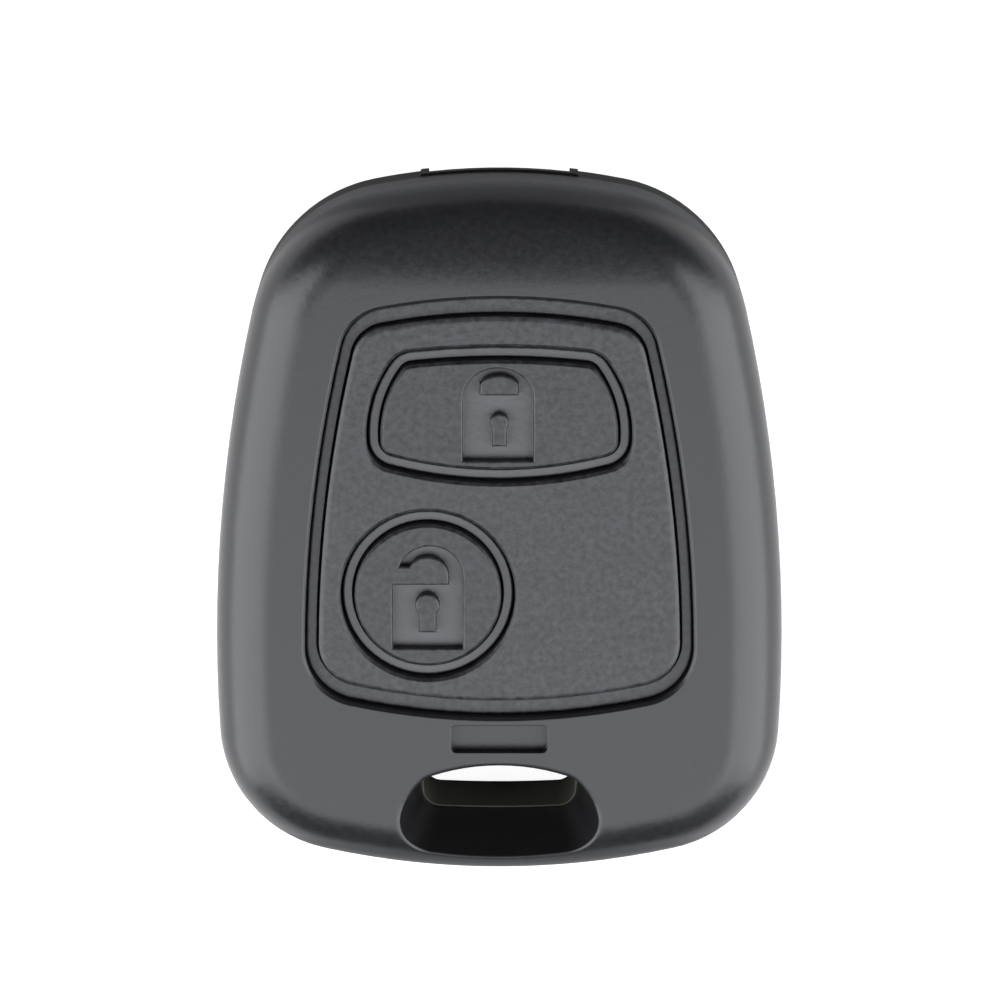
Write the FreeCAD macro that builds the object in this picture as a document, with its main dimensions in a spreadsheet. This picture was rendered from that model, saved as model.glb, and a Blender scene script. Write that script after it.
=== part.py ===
import FreeCAD, Part
import math
import os

import Sketcher

# Two-button car key fob: a snap-together plastic shell, a rubber keypad with two sprung
# buttons, and the remote board, switches and coin cell that they work.
# Millimetres. +Z leaves the button face, +Y points to the narrow end, and the origin is the
# middle of the underside. The fob lies on its back.

doc = FreeCAD.newDocument("KeyFob")
sheet = doc.addObject("Spreadsheet::Sheet", "Sizes")

# Driving dimensions. Each row is a name, its value and what it measures.
SIZES = [
    # Outline of the shell: eight tangent arcs about the Y axis
    ("shell_top", 26.6, "narrow end of the outline on the Y axis"),
    ("shell_foot", -26.75, "wide end of the outline on the Y axis"),
    ("shell_half", 21.5, "half of the greatest width"),
    ("shell_widest", -10.0, "place of the greatest width along Y"),
    ("shell_end", 48.0, "radius across the narrow end"),
    ("shell_shoulder", 11.5, "radius of the two narrow shoulders"),
    ("shell_side", 118.0, "radius of the two long sides"),
    ("shell_corner", 10.2, "radius of the two wide corners"),
    ("shell_base", 60.0, "radius across the wide end"),
    # Side view of the shell
    ("shell_height", 14.0, "underside to the face"),
    ("parting", 6.0, "height of the joint between the two shells"),
    ("nose_start", 19.2, "where the face starts to fall to the narrow end"),
    ("nose_radius", 12.5, "radius of that fall"),
    ("nose_past", 0.6, "how far that fall runs past the narrow end"),
    ("face_rounding", 4.4, "rounding of the face into the sides"),
    ("back_rounding", 4.0, "rounding of the sides into the underside"),
    # Hollow of the two shells
    ("wall", 1.6, "side walls of the upper shell"),
    ("face_thick", 2.4, "thickness of the face"),
    ("floor_thick", 1.6, "floor of the lower shell"),
    ("hollow_top", 22.4, "narrow end of the hollow"),
    ("hollow_foot", -16.5, "wide end of the hollow, before the keyring slot"),
    ("hollow_end", 44.0, "radius across the narrow end of the hollow"),
    ("hollow_shoulder", 7.4, "radius of the hollow's shoulders"),
    ("hollow_corner", 4.5, "radius of the hollow's wide corners"),
    ("hollow_base", 90.0, "radius across the wide end of the hollow"),
    ("lip_height", 1.2, "locating lip of the lower shell above the joint"),
    ("lip_thick", 0.8, "thickness of the lip"),
    ("lip_gap", 0.1, "clearance of the lip in the upper shell"),
    # Window of the upper shell, and the keypad panel inside it
    ("window_top", 18.61, "narrow end of the window on the Y axis"),
    ("window_foot", -13.63, "wide end of the window on the Y axis"),
    ("window_half", 14.6, "half of the window's greatest width"),
    ("window_widest", -9.3, "place of that width along Y"),
    ("window_end", 47.5, "radius across the window's narrow end"),
    ("window_shoulder", 3.7, "radius of the window's shoulders"),
    ("window_side", 103.0, "radius of the window's sides"),
    ("window_corner", 4.3, "radius of the window's wide corners"),
    ("window_base", 52.0, "radius across the window's wide end"),
    ("edge_bevel", 0.22, "bevel of the edges along each groove"),
    ("side_groove", 1.03, "width of the groove along the sides of the panel"),
    ("end_groove", 1.36, "width of the groove along the ends of the panel"),
    ("groove_depth", 1.15, "depth of the grooves below the face"),
    ("panel_drop", 0.05, "panel and buttons below the face of the shell"),
    ("rubber_fit", 0.06, "clearance of the rubber in the window"),
    ("flange_width", 1.3, "flange of the keypad under the face"),
    ("skirt_wall", 1.4, "wall of the keypad's skirt, which stands on the board"),
    ("roof_depth", 3.4, "underside of the keypad's roof below the face of the shell"),
    # Lock button: well in the panel, a rounded trapezoid
    ("lock_top", 14.99, "narrow-end side of the lock well"),
    ("lock_foot", 4.6, "wide-end side of the lock well"),
    ("lock_half", 9.85, "half of the lock well's width"),
    ("lock_widest", 8.2, "place of that width along Y"),
    ("lock_end", 60.0, "radius of its long side"),
    ("lock_shoulder", 2.1, "radius of its upper corners"),
    ("lock_side", 9.5, "radius of its short sides"),
    ("lock_corner", 2.2, "radius of its lower corners"),
    ("lock_base", 32.0, "radius of its bowed side"),
    # Unlock button: round well in the panel
    ("unlock_across", -5.35, "centre of the round well along X"),
    ("unlock_along", -4.04, "centre of the round well along Y"),
    ("unlock_radius", 6.53, "radius of the round well"),
    # Both buttons
    ("button_groove", 1.04, "width of the groove round each button"),
    ("brim_gap", 0.13, "clearance of the button's brim in its well"),
    ("brim_depth", 2.25, "underside of the button's brim below the face of the shell"),
    ("nub_radius", 2.0, "radius of the nub that presses the switch"),
    ("press_clearance", 0.025, "left between nub and plunger when both are fully down"),
    ("button_travel", 0.55, "travel of a button"),
    ("plunger_travel", 0.275, "travel of a switch plunger"),
    ("web_thick", 0.4, "thickness of the flexible web under a button"),
    ("web_step", 0.2, "how far the web's upper rim lies inside the button"),
    ("rubber_gap", 0.05, "clearance of each web"),
    # Keyring slot through the wide end
    ("slot_top", -17.36, "inner side of the slot's mouth"),
    ("slot_foot", -25.15, "outer side of the slot's mouth"),
    ("slot_half", 7.68, "half of the mouth's width"),
    ("slot_widest", -22.6, "place of that width along Y"),
    ("slot_end", 16.0, "radius of the mouth's inner side"),
    ("slot_shoulder", 2.3, "radius of its inner corners"),
    ("slot_side", 5.3, "radius of its sides"),
    ("slot_corner", 2.8, "radius of its outer corners"),
    ("slot_base", 28.0, "radius of its outer side"),
    ("throat_top", -18.0, "inner side of the slot through the lower shell"),
    ("throat_foot", -23.3, "outer side of that throat"),
    ("throat_half", 5.9, "half of the throat's width"),
    ("throat_widest", -21.2, "place of that width along Y"),
    ("throat_end", 34.0, "radius of the throat's inner side"),
    ("throat_shoulder", 1.5, "radius of its inner corners"),
    ("throat_side", 9.0, "radius of its sides"),
    ("throat_corner", 1.3, "radius of its outer corners"),
    ("throat_base", 90.0, "radius of its outer side"),
    ("throat_step", 0.12, "ledge of the lower shell seen in the funnel"),
    # Recess for a rating strip, left without characters
    ("strip_along", -15.28, "middle of the recess along Y"),
    ("strip_length", 7.3, "length of the recess along X"),
    ("strip_width", 2.16, "width of the recess along Y"),
    ("strip_depth", 0.9, "depth of the recess"),
    ("strip_corner", 0.4, "corner radius of the recess"),
    # Blade mouth at the narrow end, for a key blade that is riveted in
    ("mouth_half", 5.3, "half of the mouth's width"),
    ("mouth_height", 2.6, "height of the mouth"),
    ("mouth_foot", 2.2, "floor of the mouth above the underside"),
    ("collar_half", 5.9, "half of the collar round the mouth"),
    ("collar_proud", 0.15, "how far the collar stands out"),
    ("collar_rim", 0.7, "collar above and below the mouth"),
    ("seat_half", 6.6, "half of the blade seat's width"),
    ("seat_foot", 13.0, "inner end of the blade seat along Y"),
    ("seat_wall", 1.2, "wall behind the blade's root"),
    ("peg_along", 17.6, "peg for the hole in the blade's root, along Y"),
    ("peg_radius", 1.2, "radius of the peg"),
    ("peg_height", 1.9, "height of the peg"),
    # Board posts
    ("post_side", 3.0, "side of a board post"),
    ("pin_side", 1.5, "side of the square pin on a front post"),
    ("post_gap", 0.12, "clearance of that pin in the board"),
    ("post_across", 10.6, "rear board posts from the middle along X"),
    ("post_along", -13.2, "rear board posts along Y"),
    ("post_front_across", 9.4, "front board posts from the middle along X"),
    ("post_front_along", 16.0, "front board posts along Y"),
    # Circuit board
    ("board_under", 4.8, "height of the board's underside"),
    ("board_thick", 1.0, "thickness of the board"),
    ("board_margin", 0.4, "board beyond the keypad's skirt"),
    # Tact switches
    ("switch_side", 6.0, "side of a switch"),
    ("switch_height", 1.8, "height of the switch's base"),
    ("switch_floor", 0.6, "thickness of the base under the dome"),
    ("switch_well", 2.2, "radius of the well in the base"),
    ("cover_thick", 0.25, "sheet metal of the switch's cover"),
    ("cover_hole", 1.65, "radius of the hole in the cover"),
    ("cover_tab", 1.1, "length of the cover's folded tabs"),
    ("cover_fit", 0.04, "clearance of the tabs on the base"),
    ("cover_margin", 0.8, "base left bare beside the cover"),
    ("plunger_radius", 1.5, "radius of the plunger's stem"),
    ("plunger_flange", 2.0, "radius of the plunger's flange"),
    ("plunger_seat", 0.45, "thickness of that flange"),
    ("plunger_proud", 0.45, "plunger above the cover"),
    ("dome_radius", 2.05, "radius of the snap dome"),
    ("dome_bevel", 0.3, "bevel from its side to its crown"),
    ("dome_rise", 0.5, "height of the snap dome"),
    ("dome_thick", 0.1, "sheet of the snap dome"),
    # Coin cell and its contacts
    ("cell_radius", 10.0, "radius of the coin cell"),
    ("cell_height", 1.6, "height of the coin cell"),
    ("cell_rest", 0.3, "height of the rest under the cell"),
    ("rest_side", 11.0, "side of that rest"),
    ("cell_along", -1.6, "centre of the cell along Y"),
    ("cell_cap", 8.6, "radius of the cell's upper cap"),
    ("cell_step", 0.3, "step from the can to the cap"),
    ("cradle_gap", 0.25, "clearance of the cell in its cradle"),
    ("cradle_wall", 1.0, "wall of the cradle"),
    ("cradle_height", 1.3, "height of the cradle above the floor"),
    ("cradle_length", 6.0, "length of a rib of the cradle"),
    ("contact_thick", 0.25, "sheet metal of the cell contacts"),
    ("contact_width", 4.0, "width of the cell contacts"),
    ("contact_gap", 0.05, "clearance of the side contact to the cell"),
    ("contact_foot", 3.0, "length of a contact's soldered foot"),
    ("contact_above", 0.3, "side contact above the foot of the cell"),
    ("leaf_reach", 9.0, "length of the leaf that presses on the cap"),
    ("leaf_tip", 0.8, "flat tip of the leaf"),
    # Components on the board
    ("chip_across", 6.6, "microcontroller along X"),
    ("chip_along", -6.0, "microcontroller along Y"),
    ("chip_wide", 4.4, "width of its package"),
    ("chip_long", 5.0, "length of its package"),
    ("chip_height", 1.0, "thickness of its package"),
    ("chip_standoff", 0.1, "package above the board"),
    ("chip_leg", 0.95, "reach of its legs"),
    ("chip_leg_wide", 0.25, "width of a leg"),
    ("chip_leg_thick", 0.15, "thickness of a leg, above the package's underside"),
    ("chip_pitch", 0.65, "spacing of the legs"),
    ("can_across", 9.6, "resonator along X"),
    ("can_along", 1.4, "resonator along Y"),
    ("can_wide", 3.6, "width of the resonator"),
    ("can_long", 3.2, "length of the resonator"),
    ("can_height", 1.1, "height of the resonator's can"),
    ("can_lid", 0.15, "raised lid of the can"),
    ("can_rounding", 0.4, "rounding of the can's corners"),
    ("coil_across", 7.6, "transponder coil along X"),
    ("coil_along", 9.7, "transponder coil along Y"),
    ("coil_wide", 2.9, "width of the coil's cheeks"),
    ("coil_long", 7.2, "length of the coil"),
    ("coil_height", 2.6, "height of the coil"),
    ("coil_cheek", 0.9, "thickness of a cheek"),
    ("coil_step", 0.35, "winding below the cheeks"),
    ("loop_along", -13.9, "antenna loop along Y"),
    ("loop_long", 15.0, "length of the loop"),
    ("loop_wide", 2.0, "width of the loop"),
    ("loop_wire", 0.4, "thickness of its wire"),
    ("capacitor_long", 2.0, "length of a capacitor"),
    ("capacitor_wide", 1.25, "width of a capacitor"),
    ("capacitor_height", 0.9, "height of a capacitor"),
    ("resistor_long", 1.6, "length of a resistor"),
    ("resistor_wide", 0.8, "width of a resistor"),
    ("resistor_height", 0.45, "height of a resistor"),
    ("part_gap", 1.4, "from a larger component to the small one beside it"),
    ("row_gap", 2.4, "from the unlock switch to the row of small components"),
    ("row_pitch", 1.6, "spacing of the small components in that row"),
]

for row, (alias, number, note) in enumerate(SIZES, start=1):
    sheet.set(f"A{row}", alias)
    sheet.set(f"B{row}", str(number))
    sheet.set(f"C{row}", note)
    sheet.setAlias(f"B{row}", alias)
doc.recompute()

NAMES = sorted((alias for alias, number, note in SIZES), key=len, reverse=True)
AXIS_Y, ORIGIN_POINT = -2, 1    # sketch geometry numbers of the upright axis and the origin
START, END, CENTRE = 1, 2, 3    # sketch point numbers of an arc
ABOVE = 3.0                     # how far a cut starts outside the shell
PAST = 0.5                      # how far a cut runs past the far side
ROOTED = 0.2                    # how far a pad starts inside what it stands on
NEAR = 1.0                      # margin of the boxes that pick edges
CEILING = "( shell_height - face_thick )"
ROOF_UNDER = "( shell_height - roof_depth )"
BRIM_UNDER = "( shell_height - brim_depth )"
LEGS = 7                        # legs on each side of the microcontroller
WEB_SIDES, DOME_SIDES = 12, 8   # flat sides of the round web and of a snap dome

# Three bevels that touch the arc of a rounding, as shares of its radius: the first cuts the
# corner at 45 degrees, the second cuts both edges that the first leaves
EIGHTH, SIXTEENTH = math.tan(math.pi / 8), math.tan(math.pi / 16)
FIRST_BEVEL = 2 * EIGHTH / (1 + EIGHTH)
SECOND_BEVEL = EIGHTH - SIXTEENTH


def full(text):
    """The expression with each bare name of the sheet written as Sizes.name."""
    words = []
    for word in str(text).replace("(", "( ").replace(")", " )").split():
        words.append(f"Sizes.{word}" if word in NAMES else word)
    return " ".join(words)


def value(text):
    """The number that an expression gives now."""
    return float(sheet.evalExpression(full(text)))


def bind(thing, prop, text):
    """Ties a property of an object to the sheet."""
    thing.setExpression(prop, full(text))


# Bodies, sketches and features


def new_body(name):
    body = doc.addObject("PartDesign::Body", name)
    body.Label = name
    return body


def new_sketch(body, role, height="0"):
    """A sketch on one of the body's own planes, moved along the plane's normal."""
    sketch = body.newObject("Sketcher::SketchObject", f"{body.Name}_sketch")
    plane = next(item for item in body.Origin.OriginFeatures if item.Role == role)
    sketch.AttachmentSupport = [(plane, "")]
    sketch.MapMode = "FlatFace"
    bind(sketch, "AttachmentOffset.Base.z", height)
    return sketch


def level(body, height):
    """A sketch that lies flat at a height."""
    return new_sketch(body, "XY_Plane", height)


def pad(body, sketch, length, down=False):
    feature = body.newObject("PartDesign::Pad", f"{body.Name}_pad")
    feature.Profile = sketch
    feature.Reversed = down
    bind(feature, "Length", length)
    doc.recompute()
    return feature


def pocket(body, sketch, length, up=False):
    """Cuts downwards from the sketch, or upwards."""
    before = body.Shape.Volume
    feature = body.newObject("PartDesign::Pocket", f"{body.Name}_pocket")
    feature.Profile = sketch
    feature.Reversed = up
    bind(feature, "Length", length)
    doc.recompute()
    if feature.Shape.Volume >= before:
        raise RuntimeError(f"{feature.Name} cuts nothing")
    return feature


def dress(body, kind, prop, size, edges):
    """A Fillet or a Chamfer on the named edges of the body's last feature."""
    last = body.Tip
    feature = body.newObject(f"PartDesign::{kind}", f"{body.Name}_{kind.lower()}")
    feature.Base = (last, edges)
    bind(feature, prop, size)
    doc.recompute()
    return feature


def fillet(body, size, edges):
    return dress(body, "Fillet", "Radius", size, edges)


def chamfer(body, size, edges):
    return dress(body, "Chamfer", "Size", size, edges)


def edges_where(body, test):
    """Names of the edges of the body's last feature that pass a test."""
    found = [f"Edge{number}" for number, edge in enumerate(body.Tip.Shape.Edges, 1) if test(edge)]
    if not found:
        raise RuntimeError(f"{body.Name}: no edge found")
    return found


def edges_at_height(body, height, reach=None):
    """Names of the edges that lie flat at a height, all of them or those inside reach."""
    place = value(height)

    def test(edge):
        box = edge.BoundBox
        flat = abs(box.ZMin - place) < 1e-4 and abs(box.ZMax - place) < 1e-4
        return flat and (reach is None or reach(box))
    return edges_where(body, test)


def face_edges(body, pick, inner=False):
    """Names of the outer, or of the inner, edges of the faces that pick chooses."""
    shape = body.Tip.Shape
    chosen = [face for face in shape.Faces if pick(face)]
    counts = {}
    for face in chosen:
        wires = [face.OuterWire] if not inner else [w for w in face.Wires if not w.isSame(face.OuterWire)]
        for wire in wires:
            for edge in wire.Edges:
                number = next(i for i, other in enumerate(shape.Edges, 1) if other.isSame(edge))
                counts[number] = counts.get(number, 0) + 1
    return [f"Edge{number}" for number in sorted(counts) if counts[number] == 1]


# Outlines


def form(prefix, inset="0", end_inset=None):
    """The nine expressions of an eight-arc outline, moved inwards by inset."""
    ends = inset if end_inset is None else end_inset
    return {
        "top": f"{prefix}_top - ( {ends} )",
        "foot": f"{prefix}_foot + ( {ends} )",
        "half": f"{prefix}_half - ( {inset} )",
        "widest": f"{prefix}_widest",
        "end": f"{prefix}_end - ( {inset} )",
        "shoulder": f"{prefix}_shoulder - ( {inset} )",
        "side": f"{prefix}_side - ( {inset} )",
        "corner": f"{prefix}_corner - ( {inset} )",
        "base": f"{prefix}_base - ( {inset} )",
    }


def circles_meet(first, first_radius, second, second_radius):
    """The right-hand crossing of two circles given by centre and radius."""
    span = second - first
    apart = span.Length
    along = (first_radius ** 2 - second_radius ** 2 + apart ** 2) / (2 * apart)
    across = math.sqrt(first_radius ** 2 - along ** 2)
    middle = first + span * (along / apart)
    side = FreeCAD.Vector(-span.y, span.x, 0) * (across / apart)
    return max(middle + side, middle - side, key=lambda point: point.x)


def bearing(centre, point):
    return math.atan2(point.y - centre.y, point.x - centre.x)


def draw_outline(sketch, shape):
    """Eight tangent arcs, symmetric about the Y axis, each size bound to the sheet."""
    size = {part: value(text) for part, text in shape.items()}
    end = FreeCAD.Vector(0, size["top"] - size["end"], 0)
    base = FreeCAD.Vector(0, size["foot"] + size["base"], 0)
    side = FreeCAD.Vector(size["half"] - size["side"], size["widest"], 0)
    shoulder = circles_meet(end, size["end"] - size["shoulder"], side, size["side"] - size["shoulder"])
    corner = circles_meet(base, size["base"] - size["corner"], side, size["side"] - size["corner"])
    turns = [
        bearing(end, shoulder),
        bearing(side, shoulder),
        bearing(side, corner),
        bearing(base, corner),
    ]
    flip = [math.pi - turn for turn in turns]
    arcs = [
        (end, size["end"], turns[0], flip[0], 1),
        (shoulder, size["shoulder"], flip[0], flip[1], -1),
        (side, size["side"], flip[1], flip[2], -1),
        (corner, size["corner"], flip[2], flip[3], -1),
        (base, size["base"], flip[3], turns[3] + 2 * math.pi, 1),
        (corner, size["corner"], turns[3], turns[2], 1),
        (side, size["side"], turns[2], turns[1], 1),
        (shoulder, size["shoulder"], turns[1], turns[0], 1),
    ]
    up = FreeCAD.Vector(0, 0, 1)
    first = sketch.GeometryCount
    for centre, radius, start, stop, hand in arcs:
        middle = FreeCAD.Vector(centre.x * hand, centre.y, 0)
        sketch.addGeometry(Part.ArcOfCircle(Part.Circle(middle, up, radius), start, stop), False)
    top_arc, left_shoulder, left_side, left_corner = first, first + 1, first + 2, first + 3
    base_arc, right_corner, right_side, right_shoulder = first + 4, first + 5, first + 6, first + 7
    for number in range(8):
        joint = Sketcher.Constraint("Tangent", first + number, END, first + (number + 1) % 8, START)
        sketch.addConstraint(joint)
    sketch.addConstraint(Sketcher.Constraint("PointOnObject", top_arc, CENTRE, AXIS_Y))
    sketch.addConstraint(Sketcher.Constraint("PointOnObject", base_arc, CENTRE, AXIS_Y))
    sketch.addConstraint(Sketcher.Constraint("Symmetric", right_side, CENTRE, left_side, CENTRE, AXIS_Y))
    sketch.addConstraint(Sketcher.Constraint("Equal", right_side, left_side))
    sketch.addConstraint(Sketcher.Constraint("Equal", right_shoulder, left_shoulder))
    sketch.addConstraint(Sketcher.Constraint("Equal", right_corner, left_corner))
    for arc, part in (
        (top_arc, "end"),
        (right_shoulder, "shoulder"),
        (right_side, "side"),
        (right_corner, "corner"),
        (base_arc, "base"),
    ):
        bound(sketch, Sketcher.Constraint("Radius", arc, size[part]), shape[part])
    bound(sketch, from_origin("DistanceY", top_arc, CENTRE, end.y), f"{shape['top']} - ( {shape['end']} )")
    base_place = f"{shape['foot']} + ( {shape['base']} )"
    bound(sketch, from_origin("DistanceY", base_arc, CENTRE, base.y), base_place)
    bound(sketch, from_origin("DistanceY", right_side, CENTRE, side.y), shape["widest"])
    side_place = f"{shape['half']} - ( {shape['side']} )"
    bound(sketch, from_origin("DistanceX", right_side, CENTRE, side.x), side_place)
    return sketch


def from_origin(kind, geometry, point, distance):
    return Sketcher.Constraint(kind, -1, ORIGIN_POINT, geometry, point, distance)


def bound(sketch, constraint, text):
    """Adds a constraint that carries a size and ties it to the sheet."""
    number = sketch.addConstraint(constraint)
    bind(sketch, f"Constraints[{number}]", text)


def draw_circle(sketch, across, along, radius):
    middle = FreeCAD.Vector(value(across), value(along), 0)
    up = FreeCAD.Vector(0, 0, 1)
    number = sketch.addGeometry(Part.Circle(middle, up, value(radius)), False)
    bound(sketch, Sketcher.Constraint("Radius", number, value(radius)), radius)
    bound(sketch, from_origin("DistanceX", number, CENTRE, middle.x), across)
    bound(sketch, from_origin("DistanceY", number, CENTRE, middle.y), along)
    return sketch


def draw_polygon(sketch, corners):
    """Straight sides through corners that are given as pairs of expressions."""
    points = [FreeCAD.Vector(value(across), value(along), 0) for across, along in corners]
    first = sketch.GeometryCount
    count = len(points)
    for number in range(count):
        line = Part.LineSegment(points[number], points[(number + 1) % count])
        sketch.addGeometry(line, False)
    for number in range(count):
        joint = (first + number, END, first + (number + 1) % count, START)
        sketch.addConstraint(Sketcher.Constraint("Coincident", *joint))
    for number, (across, along) in enumerate(corners):
        place = points[number]
        bound(sketch, from_origin("DistanceX", first + number, START, place.x), across)
        bound(sketch, from_origin("DistanceY", first + number, START, place.y), along)
    return sketch


def draw_ring(sketch, across, along, radius, sides):
    """A regular polygon inside a circle."""
    corners = []
    for number in range(sides):
        turn = 2 * math.pi * number / sides
        corners.append((
            f"{across} + ( {radius} ) * {math.cos(turn):.6f}",
            f"{along} + ( {radius} ) * {math.sin(turn):.6f}",
        ))
    return draw_polygon(sketch, corners)


def draw_box(sketch, low_across, high_across, low_along, high_along):
    corners = [
        (low_across, low_along),
        (high_across, low_along),
        (high_across, high_along),
        (low_across, high_along),
    ]
    return draw_polygon(sketch, corners)


def cut_nose(body):
    """Lets the face fall to the narrow end on an arc, seen from the side."""
    sketch = new_sketch(body, "YZ_Plane")
    radius = value("nose_radius")
    centre = FreeCAD.Vector(value("nose_start"), value("shell_height - nose_radius"), 0)
    reach = value("shell_top + nose_past")
    sky = value(f"shell_height + {ABOVE}")
    turn = math.acos((reach - centre.x) / radius)
    circle = Part.Circle(centre, FreeCAD.Vector(0, 0, 1), radius)
    sketch.addGeometry(Part.ArcOfCircle(circle, turn, math.pi / 2), False)
    points = [
        FreeCAD.Vector(centre.x, centre.y + radius, 0),
        FreeCAD.Vector(centre.x, sky, 0),
        FreeCAD.Vector(reach, sky, 0),
        FreeCAD.Vector(reach, centre.y + radius * math.sin(turn), 0),
    ]
    for number in range(3):
        sketch.addGeometry(Part.LineSegment(points[number], points[number + 1]), False)
        sketch.addConstraint(Sketcher.Constraint("Coincident", number, END, number + 1, START))
    sketch.addConstraint(Sketcher.Constraint("Coincident", 3, END, 0, START))
    for line, direction in ((1, "Vertical"), (2, "Horizontal"), (3, "Vertical")):
        sketch.addConstraint(Sketcher.Constraint(direction, line))
    bound(sketch, Sketcher.Constraint("Radius", 0, radius), "nose_radius")
    bound(sketch, from_origin("DistanceX", 0, CENTRE, centre.x), "nose_start")
    bound(sketch, from_origin("DistanceY", 0, CENTRE, centre.y), "shell_height - nose_radius")
    bound(sketch, from_origin("DistanceX", 0, END, centre.x), "nose_start")
    bound(sketch, from_origin("DistanceX", 0, START, reach), "shell_top + nose_past")
    bound(sketch, from_origin("DistanceY", 1, END, sky), f"shell_height + {ABOVE}")
    feature = body.newObject("PartDesign::Pocket", f"{body.Name}_nose")
    feature.Profile = sketch
    feature.SideType = "Symmetric"
    bind(feature, "Length", "4 * shell_half")
    doc.recompute()


def is_face(face):
    """Whether a face belongs to the flat top of the shell or to its fall to the narrow end."""
    box = face.BoundBox
    flat = abs(box.ZMin - value("shell_height")) < 1e-4
    curved = isinstance(face.Surface, Part.Cylinder) and abs(face.Surface.Axis.x) > 0.99
    return flat or curved


def loft(body, lower, upper, cut=False):
    kind = "SubtractiveLoft" if cut else "AdditiveLoft"
    feature = body.newObject(f"PartDesign::{kind}", f"{body.Name}_loft")
    feature.Profile = lower
    feature.Sections = [upper]
    feature.Ruled = True
    doc.recompute()
    return feature


# Upper shell: the buttons look out of its window


def make_upper_shell():
    body = new_body("upper_shell")
    pad(body, draw_outline(level(body, "parting"), form("shell")), "shell_height - parting")
    cut_nose(body)
    fillet(body, "face_rounding", face_edges(body, is_face))
    hollow = draw_outline(level(body, CEILING), hollow_form("0"))
    pocket(body, hollow, f"{CEILING} - parting")
    window = draw_outline(level(body, "shell_height"), form("window"))
    pocket(body, window, f"face_thick + {PAST}")
    chamfer(body, "edge_bevel", face_edges(body, is_face, inner=True))
    mouth = draw_outline(level(body, "shell_height"), form("slot"))
    throat = draw_outline(level(body, "parting"), form("throat", "0 - throat_step"))
    loft(body, throat, mouth, cut=True)
    strip = level(body, "shell_height")
    draw_box(
        strip,
        "0 - strip_length / 2", "strip_length / 2",
        "strip_along - strip_width / 2", "strip_along + strip_width / 2",
    )
    pocket(body, strip, "strip_depth")
    fillet(body, "strip_corner", strip_corners(body))
    return body


def strip_corners(body):
    """Names of the four upright edges of the recess."""
    reach = value("strip_width")
    middle = value("strip_along")

    def on_corner(edge):
        box = edge.BoundBox
        near = abs(box.Center.y - middle) < reach
        return near and is_upright(edge)
    return edges_where(body, on_corner)


def hollow_form(inset):
    """Hollow of the shells: walls follow the outline, ends have sizes of their own."""
    shape = form("hollow", inset)
    shape["half"] = f"shell_half - wall - ( {inset} )"
    shape["widest"] = "shell_widest"
    shape["side"] = f"shell_side - wall - ( {inset} )"
    return shape


# Lower shell: holds the battery and the board, and has the mouth for the blade


def make_lower_shell():
    body = new_body("lower_shell")
    pad(body, draw_outline(level(body, "0"), form("shell")), "parting")
    chamfer(body, f"back_rounding * {FIRST_BEVEL}", edges_at_height(body, "0"))
    rims = edges_at_height(body, "0") + edges_at_height(body, f"back_rounding * {FIRST_BEVEL}")
    chamfer(body, f"back_rounding * {SECOND_BEVEL}", rims)
    add_collar(body)
    lip = draw_outline(level(body, "parting"), hollow_form("lip_gap"))
    pad(body, lip, "lip_height")
    hollow = draw_outline(level(body, "parting + lip_height"), hollow_form("lip_gap + lip_thick"))
    pocket(body, hollow, "parting + lip_height - floor_thick")
    throat = draw_outline(level(body, "parting"), form("throat"))
    pocket(body, throat, f"parting + {PAST}")
    add_blade_seat(body)
    add_board_posts(body)
    add_cell_cradle(body)
    return body


def add_collar(body):
    """A band round the mouth that stands out of the narrow end and follows its bevels."""
    sketch = new_sketch(body, "YZ_Plane")
    low, high = "mouth_foot - collar_rim", "mouth_foot + mouth_height + collar_rim"
    inner, front = "shell_top - back_rounding", "shell_top + collar_proud"
    bend = f"back_rounding * {1 - SIXTEENTH}"
    draw_polygon(sketch, [
        (front, bend),
        (front, high),
        (inner, high),
        (inner, low),
        (f"{front} - ( {bend} - ( {low} ) ) * {EIGHTH}", low),
    ])
    axis = value("shell_top - shell_end")
    ends = [FreeCAD.Vector(axis, 0, 0), FreeCAD.Vector(axis, value("shell_height"), 0)]
    line = sketch.addGeometry(Part.LineSegment(*ends), True)
    bound(sketch, from_origin("DistanceX", line, START, axis), "shell_top - shell_end")
    bound(sketch, from_origin("DistanceX", line, END, axis), "shell_top - shell_end")
    band = body.newObject("PartDesign::Revolution", f"{body.Name}_collar")
    band.Profile = sketch
    band.ReferenceAxis = (sketch, ["Axis0"])
    band.Midplane = True
    bind(band, "Angle", "2 * asin( collar_half / shell_end )")
    doc.recompute()


def add_blade_seat(body):
    """A block inside the narrow end with a trough for the blade's root, open at the end wall."""
    block = level(body, f"floor_thick - {ROOTED}")
    draw_box(block, "0 - seat_half", "seat_half", "seat_foot", "hollow_top")
    pad(body, block, "board_under - floor_thick")
    trough = level(body, "mouth_foot + mouth_height")
    draw_box(trough, "0 - mouth_half", "mouth_half", "seat_foot + seat_wall", f"shell_top + {ABOVE}")
    pocket(body, trough, "mouth_height")
    peg = level(body, f"mouth_foot - {ROOTED}")
    draw_circle(peg, "0", "peg_along", "peg_radius")
    pad(body, peg, f"peg_height + {ROOTED}")


FRONT_POSTS = [("post_front_across", "post_front_along"), ("0 - post_front_across", "post_front_along")]
REAR_POSTS = [("post_across", "post_along"), ("0 - post_across", "post_along")]


def add_board_posts(body):
    """Four square posts that carry the board, the front two with a pin through it."""
    posts = [(across, along, "post_side", "post_side") for across, along in FRONT_POSTS + REAR_POSTS]
    place_boxes(body, f"floor_thick - {ROOTED}", posts, f"board_under - floor_thick + {ROOTED}")
    pins = [(across, along, "pin_side", "pin_side") for across, along in FRONT_POSTS]
    place_boxes(body, f"board_under - {ROOTED}", pins, f"board_thick + {ROOTED}")


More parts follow.
